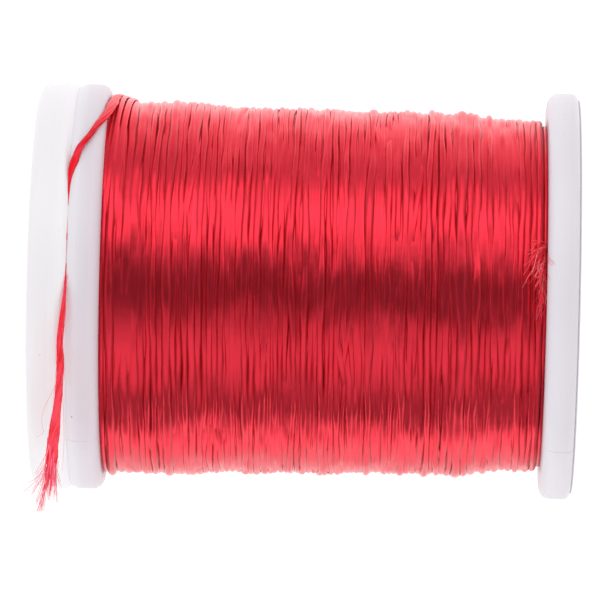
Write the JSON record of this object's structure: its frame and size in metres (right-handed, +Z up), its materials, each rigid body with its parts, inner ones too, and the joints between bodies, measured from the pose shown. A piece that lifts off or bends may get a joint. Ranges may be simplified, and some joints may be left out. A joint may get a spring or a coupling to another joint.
{
  "type": "spool of fly tying thread",
  "caption": "White plastic spool lying on its side, wound full of fine red thread; the loose end crosses a rim, is held in the slit beside it and hangs to a frayed tip.",
  "frame": {"origin": "under the middle of the spool, on the surface that it lies on", "axes": "+X along the spool's axis towards the plain flange, +Z up, -Y towards the hanging thread end"},
  "size_m": [0.0292, 0.0232, 0.022],
  "materials": {
    "spool_plastic": "milky white moulded plastic, satin",
    "cap_plastic": "milky white moulded plastic, satin",
    "thread": "red filament thread with a silky sheen",
    "filaments": "loose filaments of the red thread"
  },
  "bodies": {
    "root": {"spool_body": "spool_plastic", "snap_cap": "cap_plastic", "winding": "thread", "loose_end": "thread", "frayed_end": "filaments", "start_tuft": "filaments"}
  },
  "joints": []
}
